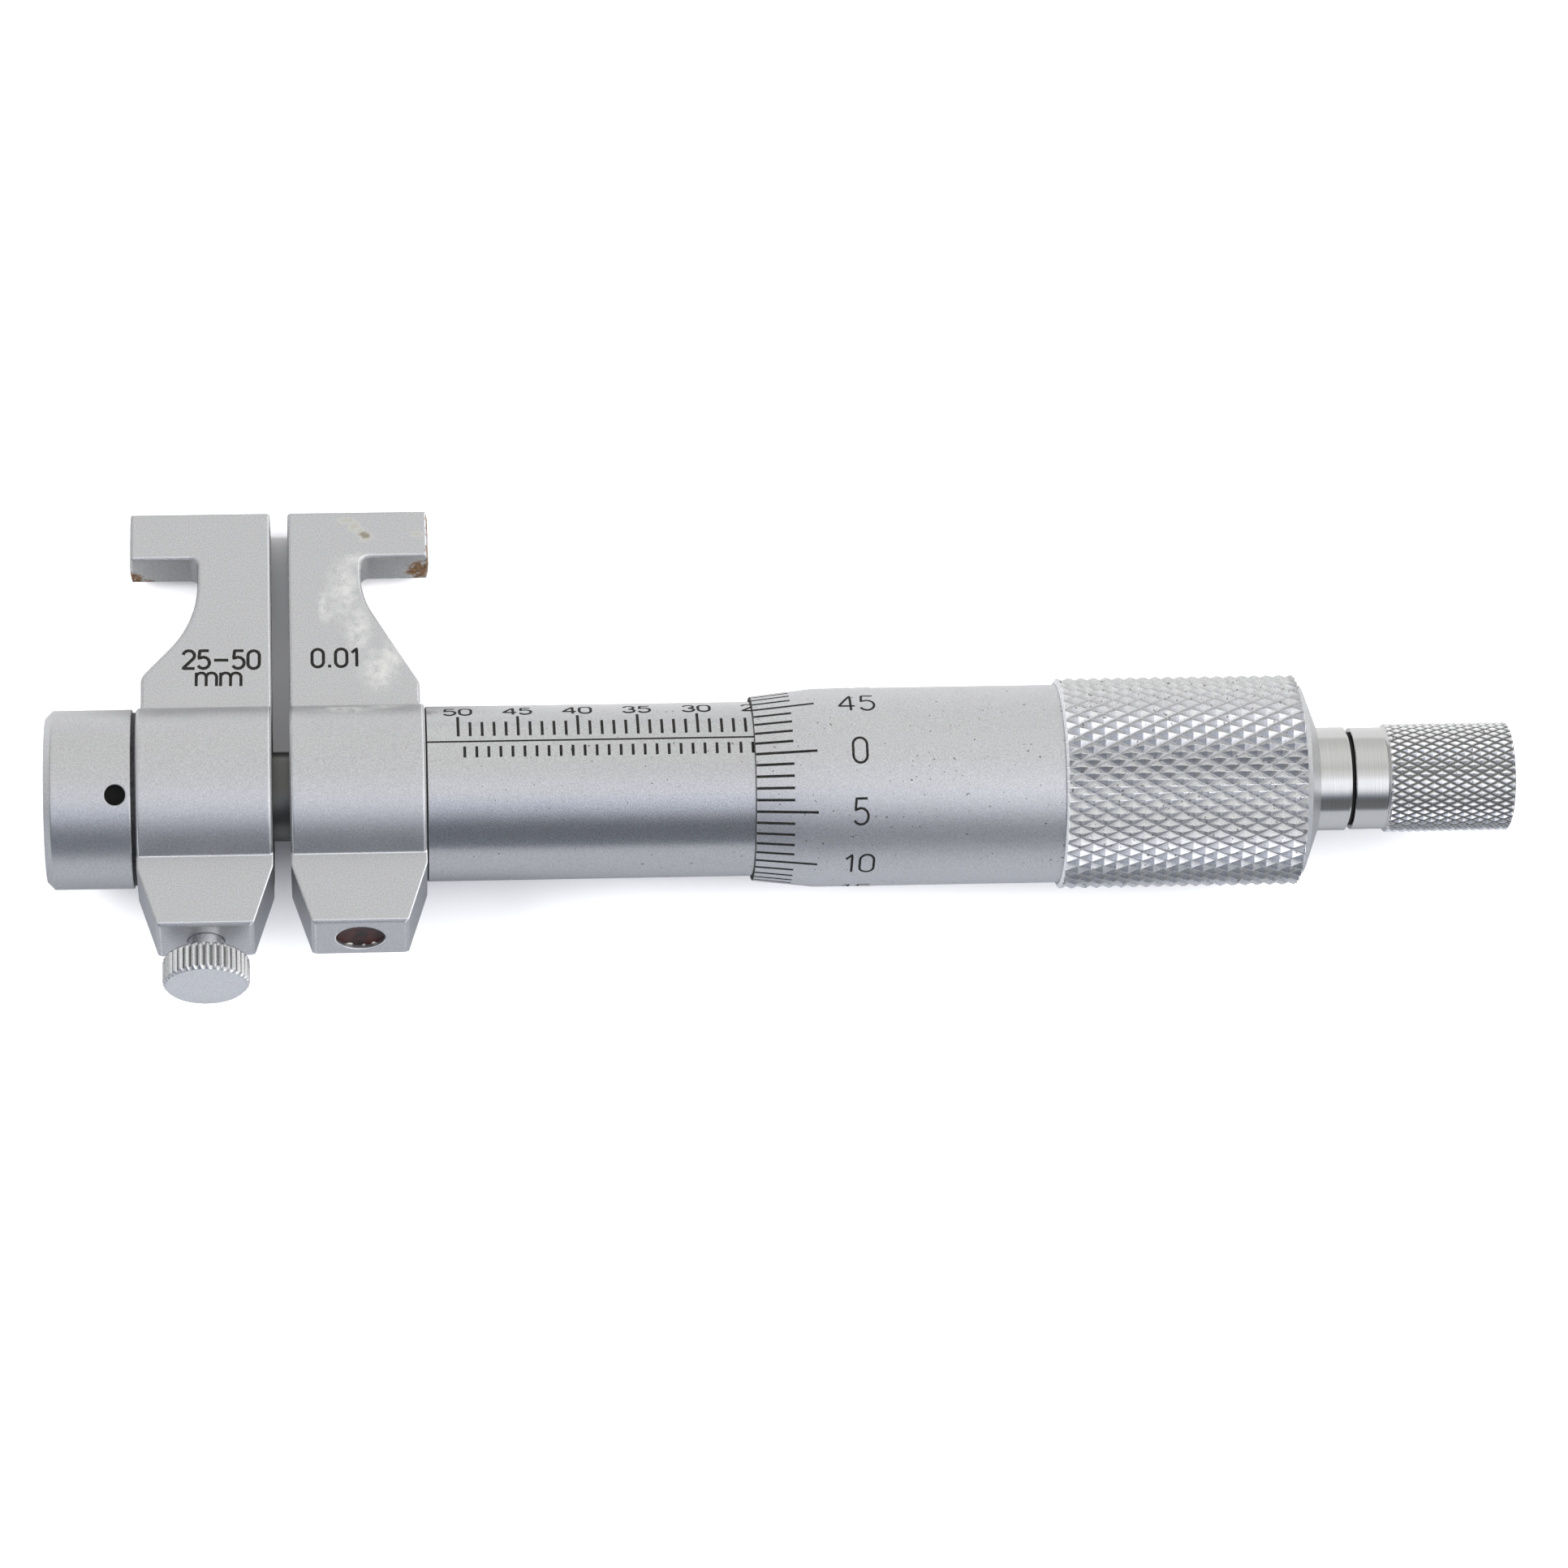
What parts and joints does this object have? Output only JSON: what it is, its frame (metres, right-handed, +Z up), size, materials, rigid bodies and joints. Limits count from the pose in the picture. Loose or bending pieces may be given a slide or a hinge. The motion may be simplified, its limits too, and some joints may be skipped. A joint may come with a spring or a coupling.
{
  "type": "inside micrometer",
  "caption": "Caliper-type inside micrometer: hooked jaws on a graduated sleeve, worked by a knurled thimble, with a ratchet knob and a thumbscrew lock.",
  "frame": {"origin": "on the table under the middle of the whole instrument", "axes": "+X along the spindle towards the ratchet knob, +Z up from the table, +Y towards the jaw tips"},
  "size_m": [0.1236, 0.0438, 0.0179],
  "materials": {
    "satin_chrome": "satin chrome plate with a fine speckle",
    "bright_steel": "turned and ground bright",
    "dark_steel": "blackened",
    "bearing_bronze": "plain turned",
    "sealing_lacquer": "dark red-brown lacquer, chipped at its rim"
  },
  "bodies": {
    "frame": {"fixed_jaw": "satin_chrome", "barrel": "bright_steel", "graduated_sleeve": "satin_chrome", "adjusting_nut": "bright_steel", "key_screw": "bright_steel", "sealing_plug": "sealing_lacquer"},
    "slider": {"moving_jaw": "satin_chrome", "guide_shaft": "bright_steel", "thrust_washer": "bearing_bronze", "end_cap": "satin_chrome", "cap_ring": "dark_steel", "thrust_ball": "bright_steel"},
    "thimble": {"spindle": "bright_steel", "spindle_collar": "bright_steel", "thimble": "satin_chrome", "ratchet_stem": "bright_steel", "ratchet_spring": "bright_steel", "end_washer": "bright_steel", "end_screw": "bright_steel"},
    "ratchet": {"ratchet_knob": "satin_chrome"},
    "crown": {"ratchet_crown": "bright_steel"},
    "lock_pad": {"lock_pad": "bearing_bronze"},
    "lock_screw": {"lock_screw": "satin_chrome"}
  },
  "joints": [
    {"name": "jaw_slide", "type": "slide", "parent": "frame", "child": "slider", "axis": [-1, 0, 0], "range_m": [-0.00048, 0.02452]},
    {"name": "thimble_turn", "type": "hinge", "parent": "slider", "child": "thimble", "pos_m": [-0.0028, -0.0041, 0.00895], "axis": [-1, 0, 0], "range_deg": [-345.7, 17654.5]},
    {"name": "ratchet_turn", "type": "hinge", "parent": "thimble", "child": "ratchet", "pos_m": [0.0482, -0.0041, 0.00895], "axis": [-1, 0, 0], "continuous": true},
    {"name": "crown_lift", "type": "slide", "parent": "thimble", "child": "crown", "axis": [-1, 0, 0], "range_m": [0, 0.0004], "stiffness_N_per_m": 1500, "springref_m": -0.001, "deforming": ["ratchet_spring"]},
    {"name": "lock_slide", "type": "slide", "parent": "slider", "child": "lock_pad", "axis": [0, 0.9643, -0.265], "range_m": [-0.001, 0.00014]},
    {"name": "lock_turn", "type": "hinge", "parent": "lock_pad", "child": "lock_screw", "pos_m": [-0.04861, -0.01702, 0.0125], "axis": [0, 0.9643, -0.265], "range_deg": [-720.1, 100.9]}
  ],
  "couplings": [
    {"joint": "thimble_turn", "follows": "jaw_slide", "rad_per_m": 12566},
    {"joint": "lock_turn", "follows": "lock_slide", "rad_per_m": 12566}
  ]
}
